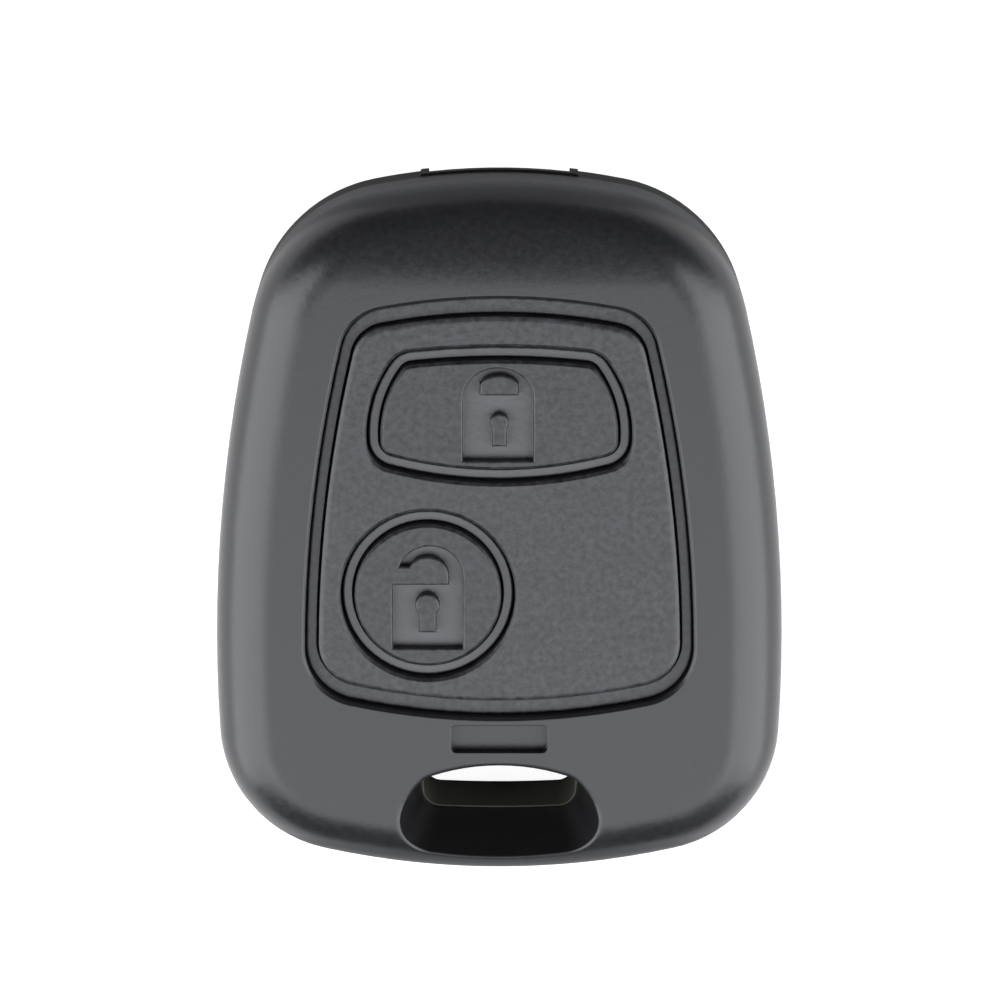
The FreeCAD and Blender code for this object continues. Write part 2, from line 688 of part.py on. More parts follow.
def add_cell_cradle(body):
    """Ribs round the coin cell, one on each side but that of its side contact, and a rest under it."""
    reach = "cell_radius + cradle_gap + cradle_wall / 2"
    ribs = [
        (f"0 - ( {reach} )", "cell_along", "cradle_wall", "cradle_length"),
        ("0", f"cell_along + {reach}", "cradle_length", "cradle_wall"),
        ("0", f"cell_along - ( {reach} )", "cradle_length", "cradle_wall"),
    ]
    place_boxes(body, f"floor_thick - {ROOTED}", ribs, f"cradle_height + {ROOTED}")
    rest = [("0", "cell_along", "rest_side", "rest_side")]
    place_boxes(body, f"floor_thick - {ROOTED}", rest, f"cell_rest + {ROOTED}")


# Rubber keypad


def panel_form(inset="0"):
    """The panel: the window drawn in by the width of the groove."""
    return form("window", f"side_groove + ( {inset} )", f"end_groove + ( {inset} )")


def make_keypad_frame():
    """Flange under the face, step that fills the window, panel, and a skirt down to the board."""
    body = new_body("keypad_frame")
    flange = draw_outline(level(body, "board_under + board_thick"), form("window", "0 - flange_width"))
    pad(body, flange, f"{CEILING} - board_under - board_thick")
    step = draw_outline(level(body, CEILING), form("window", "rubber_fit"))
    pad(body, step, "face_thick - groove_depth")
    panel = draw_outline(level(body, CEILING), panel_form())
    pad(body, panel, "face_thick - panel_drop")
    chamfer(body, "edge_bevel", edges_at_height(body, "shell_height - panel_drop"))
    hollow = form("window", "skirt_wall - flange_width")
    inside = draw_outline(level(body, "board_under + board_thick"), hollow)
    pocket(body, inside, f"{ROOF_UNDER} - board_under - board_thick", up=True)
    wells = draw_outline(level(body, "shell_height"), form("lock"))
    draw_circle(wells, "unlock_across", "unlock_along", "unlock_radius")
    pocket(body, wells, f"roof_depth + {PAST}")
    chamfer(body, "edge_bevel", edges_at_height(body, "shell_height - panel_drop", reach_of_wells))
    return body


def reach_of_wells(box):
    """Whether an edge of the panel's face lies at a well, and not at the rim of the panel."""
    in_lock = box.YMin > value(f"lock_foot - {NEAR}") and box.XMax < value(f"lock_half + {NEAR}")
    in_lock = in_lock and box.XMin > value(f"0 - lock_half - {NEAR}") and box.YMax < value(f"lock_top + {NEAR}")
    reach = value(f"unlock_radius + {NEAR}")
    across, along = box.Center.x - value("unlock_across"), box.Center.y - value("unlock_along")
    return in_lock or (abs(across) < reach and abs(along) < reach and box.DiagonalLength > reach)


def button_shape(body, height, lock, inset):
    """Outline of one button, drawn in from its well."""
    sketch = level(body, height)
    if lock:
        return draw_outline(sketch, form("lock", inset))
    return draw_circle(sketch, "unlock_across", "unlock_along", f"unlock_radius - ( {inset} )")


LOCK_MIDDLE = ("0", "( lock_top + lock_foot ) / 2")
UNLOCK_MIDDLE = ("unlock_across", "unlock_along")
BOARD_TOP = "board_under + board_thick"
PLUNGER_TIP = f"{BOARD_TOP} + switch_height + cover_thick + plunger_proud"
NUB_FOOT = f"{PLUNGER_TIP} + button_travel - plunger_travel + press_clearance"


def make_button(name, lock):
    """Brim at the foot of the groove, cap, and the nub over the switch."""
    body = new_body(name)
    brim = button_shape(body, BRIM_UNDER, lock, "brim_gap")
    pad(body, brim, "brim_depth - groove_depth")
    cap = button_shape(body, BRIM_UNDER, lock, "button_groove")
    pad(body, cap, "brim_depth - panel_drop")
    chamfer(body, "edge_bevel", edges_at_height(body, "shell_height - panel_drop"))
    nub = level(body, NUB_FOOT)
    middle = LOCK_MIDDLE if lock else UNLOCK_MIDDLE
    draw_circle(nub, *middle, "nub_radius")
    pad(body, nub, f"{BRIM_UNDER} - ( {NUB_FOOT} )")
    return body


def web_shape(body, height, lock, inset):
    """Outline of one web: the lock web follows its well, the unlock web is a ring of flat sides."""
    if lock:
        return button_shape(body, height, lock, inset)
    radius = f"unlock_radius - ( {inset} )"
    return draw_ring(level(body, height), "unlock_across", "unlock_along", radius, WEB_SIDES)


def make_web(name, lock):
    """Thin sloping skirt from the keypad's roof up to the brim, which gives when it is pressed."""
    body = new_body(name)
    top = f"{BRIM_UNDER} - rubber_gap"
    inner_top = "button_groove + web_step"
    outer = web_shape(body, ROOF_UNDER, lock, "rubber_gap")
    outer_top = web_shape(body, top, lock, inner_top)
    loft(body, outer, outer_top)
    bore = web_shape(body, ROOF_UNDER, lock, "rubber_gap + web_thick")
    bore_top = web_shape(body, top, lock, f"{inner_top} + web_thick")
    loft(body, bore, bore_top, cut=True)
    return body


# Circuit board and what is on it


def board_corners():
    """A plate with cut corners that carries the whole foot of the keypad's skirt."""
    beyond = "flange_width + board_margin"
    half, foot = f"( window_half + {beyond} )", f"( window_foot - {beyond} )"
    top = f"( window_top + {beyond} )"
    lean = "( window_top - window_widest ) ^ 2 / ( 2 * window_side )"
    top_half = f"( {half} - {lean} + board_margin )"
    top_cut = f"( window_shoulder + {beyond} ) * {FIRST_BEVEL}"
    foot_cut = f"( window_corner + {beyond} ) * {FIRST_BEVEL}"
    right = [
        (f"{half} - {foot_cut}", foot),
        (half, f"{foot} + {foot_cut}"),
        (half, "window_widest"),
        (top_half, f"{top} - {top_cut}"),
        (f"{top_half} - {top_cut}", top),
    ]
    left = [(f"0 - ( {across} )", along) for across, along in reversed(right)]
    return right + left


def make_circuit_board():
    body = new_body("circuit_board")
    pad(body, draw_polygon(level(body, "board_under"), board_corners()), "board_thick")
    holes = level(body, "board_under + board_thick")
    hole_half = "( pin_side / 2 + post_gap )"
    for across, along in FRONT_POSTS:
        draw_box(
            holes,
            f"{across} - {hole_half}", f"{across} + {hole_half}",
            f"{along} - {hole_half}", f"{along} + {hole_half}",
        )
    pocket(body, holes, f"board_thick + {PAST}")
    return body


def make_switch(name, middle):
    """A tact switch: base with its well, folded cover, plunger and a snap dome with flat sides."""
    across, along = middle
    base = new_body(f"{name}_base")
    half = "switch_side / 2"
    block = level(base, BOARD_TOP)
    draw_box(block, f"{across} - {half}", f"{across} + {half}", f"{along} - {half}", f"{along} + {half}")
    pad(base, block, "switch_height")
    well = level(base, f"{BOARD_TOP} + switch_height")
    draw_circle(well, across, along, "switch_well")
    pocket(base, well, "switch_height - switch_floor")

    cover = new_body(f"{name}_cover")
    outer = f"{half} + cover_fit + cover_thick"
    sheet_metal = level(cover, f"{BOARD_TOP} + switch_height - cover_tab")
    draw_box(
        sheet_metal,
        f"{across} - ( {outer} )", f"{across} + ( {outer} )",
        f"{along} - {half} + cover_margin", f"{along} + {half} - cover_margin",
    )
    pad(cover, sheet_metal, "cover_tab + cover_thick")
    inside = level(cover, f"{BOARD_TOP} + switch_height")
    draw_box(
        inside,
        f"{across} - {half} - cover_fit", f"{across} + {half} + cover_fit",
        f"{along} - {half}", f"{along} + {half}",
    )
    pocket(cover, inside, f"cover_tab + {PAST}")
    hole = level(cover, f"{BOARD_TOP} + switch_height + cover_thick")
    draw_circle(hole, across, along, "cover_hole")
    pocket(cover, hole, f"cover_thick + {PAST}")

    plunger = new_body(f"{name}_plunger")
    foot = f"{BOARD_TOP} + switch_floor + dome_rise + rubber_gap"
    flange = level(plunger, foot)
    draw_circle(flange, across, along, "plunger_flange")
    pad(plunger, flange, "plunger_seat")
    stem = level(plunger, foot)
    draw_circle(stem, across, along, "plunger_radius")
    pad(plunger, stem, f"{PLUNGER_TIP} - ( {foot} )")

    dome = new_body(f"{name}_dome")
    rest = f"{BOARD_TOP} + switch_floor"
    pad(dome, draw_ring(level(dome, rest), across, along, "dome_radius", DOME_SIDES), "dome_rise")
    chamfer(dome, "dome_bevel", edges_at_height(dome, f"{rest} + dome_rise"))
    inner = "dome_radius - dome_bevel - dome_thick"
    under = draw_ring(level(dome, rest), across, along, inner, DOME_SIDES)
    pocket(dome, under, "dome_rise - dome_thick", up=True)
    return [base, cover, plunger, dome]


def make_coin_cell():
    """The can with its stepped cap, cap upwards."""
    body = new_body("coin_cell")
    foot = "floor_thick + cell_rest"
    can = level(body, foot)
    draw_circle(can, "0", "cell_along", "cell_radius")
    pad(body, can, "cell_height - cell_step")
    cap = level(body, f"{foot} + cell_height - cell_step")
    draw_circle(cap, "0", "cell_along", "cell_cap")
    pad(body, cap, "cell_step")
    return body


def make_contacts():
    """Sheet-metal contacts under the board: one against the can, one leaf on the cap."""
    side = new_body("battery_clip_positive")
    near = "cell_radius + contact_gap"
    drop = "floor_thick + cell_rest + contact_above"
    strip = new_sketch(side, "XZ_Plane", "0 - cell_along")
    draw_polygon(strip, [
        (near, drop),
        (f"{near} + contact_thick", drop),
        (f"{near} + contact_thick", "board_under - contact_thick"),
        (f"{near} + contact_foot", "board_under - contact_thick"),
        (f"{near} + contact_foot", "board_under"),
        (near, "board_under"),
    ])
    thicken(side, strip)

    leaf = new_body("battery_contact_negative")
    outer = "0 - cell_radius - contact_foot"
    bend = "0 - cell_radius"
    tip = "leaf_reach - cell_radius"
    touch = "floor_thick + cell_rest + cell_height"
    strip = new_sketch(leaf, "XZ_Plane", "0 - cell_along")
    draw_polygon(strip, [
        (outer, "board_under - contact_thick"),
        (bend, "board_under - contact_thick"),
        (tip, touch),
        (f"{tip} + leaf_tip", touch),
        (f"{tip} + leaf_tip", f"{touch} + contact_thick"),
        (tip, f"{touch} + contact_thick"),
        (bend, "board_under"),
        (outer, "board_under"),
    ])
    thicken(leaf, strip)
    return [side, leaf]


def place_boxes(body, foot, boxes, length, down=False):
    """Pads rectangles, each given by its centre and its sides."""
    plan = level(body, foot)
    for across, along, wide, deep in boxes:
        draw_box(
            plan,
            f"{across} - ( {wide} ) / 2", f"{across} + ( {wide} ) / 2",
            f"{along} - ( {deep} ) / 2", f"{along} + ( {deep} ) / 2",
        )
    return pad(body, plan, length, down)


def thicken(body, strip):
    """Pads a strip's side view to both sides of its sketch."""
    feature = body.newObject("PartDesign::Pad", f"{body.Name}_width")
    feature.Profile = strip
    feature.SideType = "Symmetric"
    bind(feature, "Length", "contact_width")
    doc.recompute()
    return feature


# Components on the board


def make_microcontroller():
    """A small-outline package with a row of legs along each long side."""
    body = new_body("microcontroller")
    across, along = "chip_across", "chip_along"
    package = [(across, along, "chip_wide", "chip_long")]
    place_boxes(body, f"{BOARD_TOP} + chip_standoff", package, "chip_height")
    row = []
    for number in range(LEGS):
        place = f"{along} + ( {number} - {(LEGS - 1) / 2} ) * chip_pitch"
        row.append((across, place, "chip_wide + 2 * chip_leg", "chip_leg_wide"))
    place_boxes(body, BOARD_TOP, row, "chip_standoff + chip_leg_thick")
    return body


def make_resonator():
    body = new_body("resonator")
    place_boxes(body, BOARD_TOP, [("can_across", "can_along", "can_wide", "can_long")], "can_height")
    fillet(body, "can_rounding", edges_where(body, is_upright))
    lid = level(body, f"{BOARD_TOP} + can_height")
    draw_box(
        lid,
        "can_across - can_wide / 2 + can_rounding", "can_across + can_wide / 2 - can_rounding",
        "can_along - can_long / 2 + can_rounding", "can_along + can_long / 2 - can_rounding",
    )
    pad(body, lid, "can_lid")
    return body


def is_upright(edge):
    box = edge.BoundBox
    return box.ZLength > 1e-3 and box.XLength < 1e-4 and box.YLength < 1e-4


def make_transponder_coil():
    """A ferrite spool: two cheeks and the wound waist between them."""
    body = new_body("transponder_coil")
    half = "( coil_long - coil_cheek ) / 2"
    cheeks = [
        ("coil_across", f"coil_along - {half}", "coil_wide", "coil_cheek"),
        ("coil_across", f"coil_along + {half}", "coil_wide", "coil_cheek"),
    ]
    place_boxes(body, BOARD_TOP, cheeks, "coil_height")
    waist = [("coil_across", "coil_along", "coil_wide - 2 * coil_step", "coil_long - coil_cheek")]
    place_boxes(body, f"{BOARD_TOP} + coil_step", waist, "coil_height - 2 * coil_step")
    return body


def make_antenna_loop():
    """A flat loop of wire under the board, at its wide end."""
    body = new_body("antenna_loop")
    frame = [("0", "loop_along", "loop_long", "loop_wide")]
    place_boxes(body, "board_under", frame, "loop_wire", down=True)
    hole = level(body, "board_under")
    inner_half = "loop_long / 2 - loop_wire"
    inner_deep = "loop_wide / 2 - loop_wire"
    draw_box(
        hole,
        f"0 - ( {inner_half} )", inner_half,
        f"loop_along - ( {inner_deep} )", f"loop_along + ( {inner_deep} )",
    )
    pocket(body, hole, f"loop_wire + {PAST}")
    return body


ROW = "unlock_across - switch_side / 2 - row_gap"
BESIDE_CHIP = "chip_across - chip_wide / 2 - chip_leg - part_gap"
CAPACITORS = [
    ("chip_across", "chip_along + chip_long / 2 + part_gap"),
    ("can_across", "can_along + can_long / 2 + part_gap"),
    (ROW, "unlock_along + row_pitch"),
    (ROW, "unlock_along + 2 * row_pitch"),
]
RESISTORS = [
    (BESIDE_CHIP, "chip_along"),
    (BESIDE_CHIP, "chip_along - row_pitch"),
    (ROW, "unlock_along"),
    (ROW, "unlock_along - row_pitch"),
    ("unlock_across", "unlock_along + switch_side / 2 + part_gap"),
]


def make_small_parts(name, places, wide, deep, height):
    """A group of alike components on the top of the board, as separate solids of one node."""
    foot = value(BOARD_TOP)
    sizes = [value(wide), value(deep), value(height)]
    blocks = []
    for across, along in places:
        corner = FreeCAD.Vector(value(across) - sizes[0] / 2, value(along) - sizes[1] / 2, foot)
        blocks.append(Part.makeBox(*sizes, corner))
    group = doc.addObject("Part::Feature", name)
    group.Label = name
    group.Shape = Part.makeCompound(blocks)
    return group


upper_shell = make_upper_shell()
lower_shell = make_lower_shell()
nodes = [
    upper_shell,
    lower_shell,
    make_keypad_frame(),
    make_button("lock_button", True),
    make_button("unlock_button", False),
    make_web("lock_web", True),
    make_web("unlock_web", False),
    make_circuit_board(),
    *make_switch("lock_switch", LOCK_MIDDLE),
    *make_switch("unlock_switch", UNLOCK_MIDDLE),
    make_coin_cell(),
    *make_contacts(),
    make_microcontroller(),
    make_resonator(),
    make_transponder_coil(),
    make_antenna_loop(),
    make_small_parts("capacitors", CAPACITORS, "capacitor_long", "capacitor_wide", "capacitor_height"),
    make_small_parts("resistors", RESISTORS, "resistor_long", "resistor_wide", "resistor_height"),
]

for thing in doc.Objects:
    if "Invalid" in thing.State or "Error" in thing.State:
        raise RuntimeError(f"{thing.Name} did not build: {thing.State}")
for node in nodes:
    if node.Shape.isNull() or not node.Shape.isValid():
        raise RuntimeError(f"{node.Label} has no valid shape")

os.makedirs("parts", exist_ok=True)
for node in nodes:
    node.Shape.exportStep(f"parts/{node.Label}.step")
    print(node.Label, round(node.Shape.Volume, 2), "mm3,", len(node.Shape.Solids), "solid(s)")
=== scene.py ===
# %% [markdown]
# A two-button car key fob, seen from above and a little from its narrow end. The solids come ready made
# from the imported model, in metres, so this lesson is about what makes them look real: the grained plastic,
# the rubber, the sunk padlocks on the buttons, and the light.

# %% Load the model
import math
import bpy
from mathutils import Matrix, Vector


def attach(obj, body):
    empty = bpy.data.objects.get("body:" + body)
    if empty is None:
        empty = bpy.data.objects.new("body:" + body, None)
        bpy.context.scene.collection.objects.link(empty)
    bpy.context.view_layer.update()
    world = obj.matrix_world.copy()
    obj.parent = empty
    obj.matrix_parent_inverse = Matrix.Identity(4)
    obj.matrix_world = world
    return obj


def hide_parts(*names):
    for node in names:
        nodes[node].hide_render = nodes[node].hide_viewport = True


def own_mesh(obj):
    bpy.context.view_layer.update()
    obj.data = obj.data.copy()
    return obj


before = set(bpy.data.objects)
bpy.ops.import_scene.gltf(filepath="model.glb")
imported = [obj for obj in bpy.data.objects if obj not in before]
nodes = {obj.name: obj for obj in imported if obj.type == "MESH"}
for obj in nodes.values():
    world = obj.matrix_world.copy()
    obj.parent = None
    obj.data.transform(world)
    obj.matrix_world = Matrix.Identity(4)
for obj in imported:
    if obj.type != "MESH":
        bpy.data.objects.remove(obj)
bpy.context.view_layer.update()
MM = 0.001
print("nodes:", len(nodes))

# %% [markdown]
# A few heights come back in several cells: those of the button faces, of the padlocks cut into them and of
# the grooves. They are in millimetres above the table.

# %% Heights on the rubber
FACE = 13.95         # faces of the buttons
SUNK = 0.85          # depth of the padlocks
OVER = 0.5           # how far the cutters stand above the face
GROOVE = 12.85       # floor of the grooves on the solids
BEAD = 13.1          # height that the floor is lifted to, as a bead, level with the padlocks' floors
NEAR = 0.01          # how far a point may lie from a height and still count
print("padlock floors at", round(FACE - SUNK, 2), "mm")

# %% [markdown]
# The photograph looks down at the fob, tilted a little towards its narrow end. A long lens from 300 mm away
# keeps the sides nearly parallel. The camera is turned about X only, so the fob stays upright in the
# picture.

# %% Camera
TILT = math.radians(14.5)
DISTANCE = 0.300
AIM = Vector((0.00005, 0.00156, 0.007))
camera_data = bpy.data.cameras.new("camera")
camera_data.lens = 141.9
camera_data.sensor_width = 36.0
camera_data.clip_start = 0.01
camera = bpy.data.objects.new("camera", camera_data)
bpy.context.collection.objects.link(camera)
camera.location = AIM + DISTANCE * Vector((0, math.sin(TILT), math.cos(TILT)))
camera.rotation_euler = (-TILT, 0, 0)
bpy.context.scene.camera = camera
print("camera at", tuple(round(part, 4) for part in camera.location))

# %% [markdown]
# A fob like this is photographed on a white table between soft boxes. A large box hangs overhead, one
# stands on each side, and none stands beyond the narrow end, which is why the slope there is dark. The
# lamps are large area lights: a small lamp would give hard, glaring spots.

# %% Lights
DAYLIGHT = (0.955, 0.97, 1.0)
OVERHEAD_WATTS = 1.6
SIDE_WATTS = 5.4
bpy.context.scene.view_settings.view_transform = "Standard"


def soft_box(name, place, first, second, watts):
    """A rectangular lamp, with its two sizes in metres, that faces the middle of the fob."""
    data = bpy.data.lights.new(name, "AREA")
    data.shape = "RECTANGLE"
    data.size, data.size_y = first, second
    data.energy = watts
    data.color = DAYLIGHT
    lamp = bpy.data.objects.new(name, data)
    bpy.context.collection.objects.link(lamp)
    lamp.location = place
    lamp.rotation_euler = (AIM - Vector(place)).to_track_quat("-Z", "Y").to_euler()


soft_box("overhead", (0.0, -0.20, 0.50), 0.50, 0.36, OVERHEAD_WATTS)
for name, side in (("left_side", -1), ("right_side", 1)):
    soft_box(name, (side * 0.40, -0.08, 0.23), 0.56, 0.66, SIDE_WATTS)

world = bpy.data.worlds.new("room")
bpy.context.scene.world = world
world.use_nodes = True
background = world.node_tree.nodes["Background"]
background.inputs["Color"].default_value = (0.5, 0.5, 0.5, 1)
background.inputs["Strength"].default_value = 0.02
print("lamps:", len(bpy.data.lights))

# %% [markdown]
# Several materials change with the place on the piece. A few helpers keep that short. Each takes numbers,
# colours or the outputs of other nodes alike.

# %% Shader helpers


def new_material(name):
    """A material, with its node tree and its main shader."""
    material = bpy.data.materials.new(name)
    material.use_nodes = True
    return material, material.node_tree, material.node_tree.nodes["Principled BSDF"]


def feed(tree, socket, value):
    """Links an input to another node's output, or sets it to a number or a colour."""
    if isinstance(value, bpy.types.NodeSocket):
        tree.links.new(value, socket)
    else:
        socket.default_value = value


def own_place(tree):
    """The place on the piece itself, whole and split into X, Y and Z."""
    place = tree.nodes.new("ShaderNodeTexCoord")
    split = tree.nodes.new("ShaderNodeSeparateXYZ")
    tree.links.new(place.outputs["Object"], split.inputs[0])
    return place.outputs["Object"], split.outputs


def maths(tree, operation, *values):
    """The result of one step of arithmetic."""
    node = tree.nodes.new("ShaderNodeMath")
    node.operation = operation
    for socket, value in zip(node.inputs, values):
        feed(tree, socket, value)
    return node.outputs[0]


def ramp(tree, value, start, end, least=0.0, most=1.0):
    """A value that goes from least to most while its input goes from start to end."""
    node = tree.nodes.new("ShaderNodeMapRange")
    settings = {"Value": value, "From Min": start, "From Max": end, "To Min": least, "To Max": most}
    for name, setting in settings.items():
        feed(tree, node.inputs[name], setting)
    return node.outputs[0]


def blend(tree, share, first, second, kind="RGBA"):
    """Goes from the first to the second with the share; kind is RGBA for colours, FLOAT for numbers."""
    node = tree.nodes.new("ShaderNodeMix")
    node.data_type = kind
    for name, value in (("Factor", share), ("A", first), ("B", second)):
        feed(tree, node.inputs[name], value)
    return node.outputs["Result"]


print("shader helpers ready")

# %% [markdown]
# The table is a plain pale sheet. It has to read as pure white behind the fob and still catch the soft
# shadow under it, so white light is added to it for the rays that come from the camera. Glossy and
# transmitted rays get it too, at the sides, where the lamps stand, and the flanks mirror it. Towards the
# middle line that mirrored glow fades out as painted shade under the fob and beyond its ends, so the ends
# and the slot stay dark.

# %% Table
SHEET_GREY = 0.28
ADDED_WHITE = 0.93
MIRRORED_FROM, MIRRORED_FULL = 19, 24        # distance from the middle line, in mm
bpy.ops.object.select_all(action="DESELECT")
bpy.ops.mesh.primitive_plane_add(size=4.0, location=(0, 0, -0.00002))
table = bpy.context.object
table.name = "table"
paper, tree, sheet = new_material("white_paper")
sheet.inputs["Base Color"].default_value = (SHEET_GREY, SHEET_GREY, SHEET_GREY, 1)
sheet.inputs["Roughness"].default_value = 0.9
sheet.inputs["Specular IOR Level"].default_value = 0.1
rays = tree.nodes.new("ShaderNodeLightPath").outputs
mirrored = maths(tree, "MAXIMUM", rays["Is Glossy Ray"], rays["Is Transmission Ray"])
aside = maths(tree, "ABSOLUTE", own_place(tree)[1]["X"])
# Painted shade: the glow that the flanks mirror fades out towards the middle line, under the fob and beyond
# its ends.
at_sides = ramp(tree, aside, MIRRORED_FROM * MM, MIRRORED_FULL * MM, 0.0, mirrored)
seen = maths(tree, "MAXIMUM", rays["Is Camera Ray"], at_sides)
glow = tree.nodes.new("ShaderNodeEmission")
glow.inputs["Color"].default_value = (1, 1, 1, 1)
feed(tree, glow.inputs["Strength"], maths(tree, "MULTIPLY", seen, ADDED_WHITE))
both = tree.nodes.new("ShaderNodeAddShader")
tree.links.new(sheet.outputs[0], both.inputs[0])
tree.links.new(glow.outputs[0], both.inputs[1])
tree.links.new(both.outputs[0], tree.nodes["Material Output"].inputs["Surface"])
table.data.materials.append(paper)
print("table laid")

# %% [markdown]
# Moulded shells and rubber have a fine grain, cut into the mould so that finger marks don't show. One node
# group makes it for every material. Its size is told in millimetres, and it gives a height for the bump and
# a soft mottle for the colour and the gloss.

# %% Grain shared by the moulded materials
COARSE_SHARE = 0.3       # how much of the mottle is made of wide patches
grain = bpy.data.node_groups.new("moulded_grain", "ShaderNodeTree")
grain.interface.new_socket("Per millimetre", in_out="INPUT", socket_type="NodeSocketFloat")
for name in ("Height", "Mottle"):
    grain.interface.new_socket(name, in_out="OUTPUT", socket_type="NodeSocketFloat")
ends = grain.nodes.new("NodeGroupInput")
out = grain.nodes.new("NodeGroupOutput")
to_mm = grain.nodes.new("ShaderNodeVectorMath")
to_mm.operation = "SCALE"
to_mm.inputs["Scale"].default_value = 1 / MM
feed(grain, to_mm.inputs[0], own_place(grain)[0])
fine = grain.nodes.new("ShaderNodeTexNoise")
fine.inputs["Detail"].default_value = 2.0
fine.inputs["Roughness"].default_value = 0.6
coarse = grain.nodes.new("ShaderNodeTexNoise")
coarse.inputs["Scale"].default_value = 0.35
coarse.inputs["Detail"].default_value = 3.0
for noise in (fine, coarse):
    grain.links.new(to_mm.outputs[0], noise.inputs["Vector"])
grain.links.new(ends.outputs["Per millimetre"], fine.inputs["Scale"])
clearer = ramp(grain, fine.outputs["Fac"], 0.3, 0.7)
mottle = blend(grain, COARSE_SHARE, clearer, coarse.outputs["Fac"], "FLOAT")
grain.links.new(fine.outputs["Fac"], out.inputs["Height"])
grain.links.new(mottle, out.inputs["Mottle"])
print("grain group ready")

# %% [markdown]
# A moulded material is one dark grey with a slight mottle, a satin gloss and that grain. Recesses that were
# left smooth in the mould are told by their height on the piece, so they need no seam. There the gloss is
# higher, and the grey is lighter as painted light, standing in for the light that those floors catch. On the
# buttons one height covers the padlocks' floors and the beads round the buttons.

# %% Moulded materials
GRAIN_DEPTH = 0.03       # height of the grain in mm
EDGE_RADIUS = 0.1        # radius of the worn edges in mm
# Painted light: a lighter grey for the smooth padlock floors and beads.
PAINTED_LIT_GREY = (0.047, 0.0475, 0.05)
POLISHED_ROUGHNESS = 0.34


def height_band(tree, level):
    """A mask that is 1 near a height in mm, and 0 elsewhere."""
    height = own_place(tree)[1]["Z"]
    above = maths(tree, "GREATER_THAN", height, (level - NEAR) * MM)
    below = maths(tree, "LESS_THAN", height, (level + NEAR) * MM)
    return maths(tree, "MULTIPLY", above, below)


def moulded(name, dark, light, gloss, per_mm, bump, smooth_and_lit_height=None):
    """A grained material with worn edges; the last argument is a height in mm that was left smooth, and is
    given painted light.
    """
    material, tree, shader = new_material(name)
    shader.inputs["IOR"].default_value = 1.5
    pattern = tree.nodes.new("ShaderNodeGroup")
    pattern.node_tree = grain
    pattern.inputs["Per millimetre"].default_value = per_mm
    patches = pattern.outputs["Mottle"]
    colour = blend(tree, patches, (*dark, 1), (*light, 1))
    roughness = ramp(tree, patches, 0.0, 1.0, gloss - 0.03, gloss + 0.05)
    edges = tree.nodes.new("ShaderNodeBevel")
    edges.samples = 8
    edges.inputs["Radius"].default_value = EDGE_RADIUS * MM
    relief = tree.nodes.new("ShaderNodeBump")
    relief.inputs["Strength"].default_value = bump
    relief.inputs["Distance"].default_value = GRAIN_DEPTH * MM
    tree.links.new(edges.outputs[0], relief.inputs["Normal"])
    tree.links.new(pattern.outputs["Height"], relief.inputs["Height"])
    tree.links.new(relief.outputs[0], shader.inputs["Normal"])
    if smooth_and_lit_height:
        # Painted light: the smooth band gets a lighter grey, and a lower roughness for its smoother finish.
        band = height_band(tree, smooth_and_lit_height)
        colour = blend(tree, band, colour, (*PAINTED_LIT_GREY, 1))
        roughness = blend(tree, band, roughness, POLISHED_ROUGHNESS, "FLOAT")
    tree.links.new(colour, shader.inputs["Base Color"])
    tree.links.new(roughness, shader.inputs["Roughness"])
    return material


shell_plastic = moulded(
    "shell_plastic", dark=(0.009, 0.0092, 0.0103), light=(0.013, 0.0132, 0.0148),
    gloss=0.31, per_mm=2.2, bump=0.35,
)
back_plastic = moulded(
    "back_plastic", dark=(0.019, 0.0193, 0.0168), light=(0.025, 0.0254, 0.0222),
    gloss=0.45, per_mm=2.2, bump=0.35,
)
keypad_rubber = moulded(
    "keypad_rubber", dark=(0.002, 0.0021, 0.0023), light=(0.033, 0.0335, 0.0372),
    gloss=0.41, per_mm=2.0, bump=1.0,
)
button_rubber = moulded(
    "button_rubber", dark=(0.001, 0.0011, 0.0012), light=(0.030, 0.0305, 0.0342),
    gloss=0.43, per_mm=2.0, bump=1.0, smooth_and_lit_height=FACE - SUNK,
)
print("moulded materials ready")

# %% [markdown]
# The rim of the keyring slot is rounded more than the other edges of the shell. Rather than a second
# material, the radius of the worn edges grows with the place: it is larger from the upper edge of the slot
# to the wide end.

# %% Softer rim at the slot
RIM_FROM, RIM_FULL = -16.9, -17.3        # places along Y, in mm
RIM_RADIUS = 0.6
tree = shell_plastic.node_tree
along = own_place(tree)[1]["Y"]
radius = ramp(tree, along, RIM_FROM * MM, RIM_FULL * MM, EDGE_RADIUS * MM, RIM_RADIUS * MM)
tree.links.new(radius, tree.nodes["Bevel"].inputs["Radius"])
print("slot rim softened")

# %% [markdown]
# The collar round the mouth is nearly black in the photograph, with two small ears. So the lower shell
# mirrors less than the upper one. Its colour also falls off to near black over the last few millimetres
# towards the narrow end, as painted shade standing in for the shade that falls on that wall by the table.

# %% Painted shade on the collar
COLLAR_FROM, COLLAR_FULL = 21.5, 25.0        # places along Y, in mm
COLLAR_PAINTED_SHADE = (0.001, 0.001, 0.001, 1)
tree = back_plastic.node_tree
shader = tree.nodes["Principled BSDF"]
shader.inputs["Specular IOR Level"].default_value = 0.25
place, axes = own_place(tree)
plain = shader.inputs["Base Color"].links[0].from_socket
# Painted shade: the colour falls to near black towards the narrow end.
painted_shade_fall = ramp(tree, axes["Y"], COLLAR_FROM * MM, COLLAR_FULL * MM, 0.0, 0.9)
with_painted_shade = blend(tree, painted_shade_fall, plain, COLLAR_PAINTED_SHADE)
print("collar darkened")
